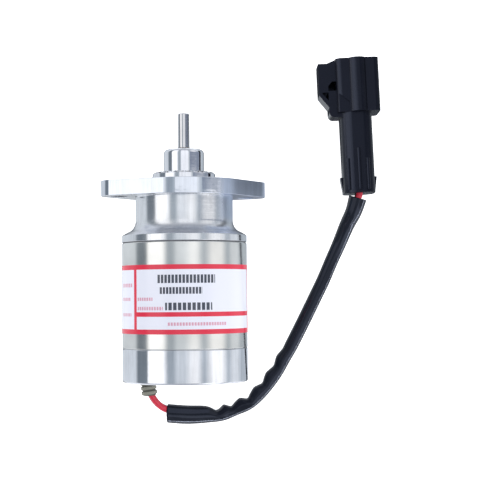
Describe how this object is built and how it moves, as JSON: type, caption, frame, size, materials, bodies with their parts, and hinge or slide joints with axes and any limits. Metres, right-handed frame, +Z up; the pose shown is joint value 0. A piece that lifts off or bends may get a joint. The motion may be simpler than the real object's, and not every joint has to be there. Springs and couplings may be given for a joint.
{
  "type": "engine governor actuator",
  "caption": "Round electric linear actuator with a lugged flange, pilot nose and sprung-out shaft, and a sleeved lead to a sealed connector, for moving an engine governor's fuel lever.",
  "frame": {"origin": "centre of the pilot collar, on the flange's mounting face", "axes": "+Y along the shaft, out of the nose; +Z up as the actuator lies on a bench; +X towards the connector"},
  "size_m": [0.1088, 0.1442, 0.0484],
  "materials": {
    "turned_aluminium": "machined, bright",
    "polished_aluminium": "fine-turned, polished",
    "plated_steel": "zinc plated, satin",
    "ground_steel": "ground",
    "soft_iron": "turned",
    "bronze": "sintered",
    "copper_wire": "enamelled",
    "printed_label": "printed film",
    "bobbin_nylon": "moulded",
    "seal_rubber": "matt",
    "grommet_rubber": "matt",
    "red_insulation": "extruded",
    "black_insulation": "extruded",
    "sleeve_vinyl": "glossy",
    "connector_nylon": "moulded, satin",
    "tinned_brass": "tinned"
  },
  "bodies": {
    "housing": {"mount_flange": "turned_aluminium", "nose_guide": "polished_aluminium", "front_bush": "bronze", "housing_tube": "plated_steel", "seam_gasket": "seal_rubber", "end_cap": "polished_aluminium", "rating_label": "printed_label", "front_plate": "soft_iron", "core_tube": "bronze", "coil_bobbin": "bobbin_nylon", "coil_winding": "copper_wire", "pole_piece": "soft_iron", "pole_shim": "bronze", "rear_bush": "bronze", "bumper_washer": "seal_rubber", "return_spring": "ground_steel", "lead_grommet": "grommet_rubber", "red_lead": "red_insulation", "black_lead": "black_insulation", "lead_sleeve": "sleeve_vinyl", "connector_shell": "connector_nylon", "seal_cover": "connector_nylon", "wire_seals": "seal_rubber", "terminal_pins": "tinned_brass"},
    "rod": {"output_shaft": "ground_steel", "plunger": "soft_iron", "plunger_clip": "ground_steel"}
  },
  "joints": [
    {"name": "rod_travel", "type": "slide", "parent": "housing", "child": "rod", "axis": [0, 1, 0], "range_m": [-0.01, 0], "stiffness_N_per_m": 600, "springref_m": 0.008, "deforming": ["return_spring"]}
  ]
}
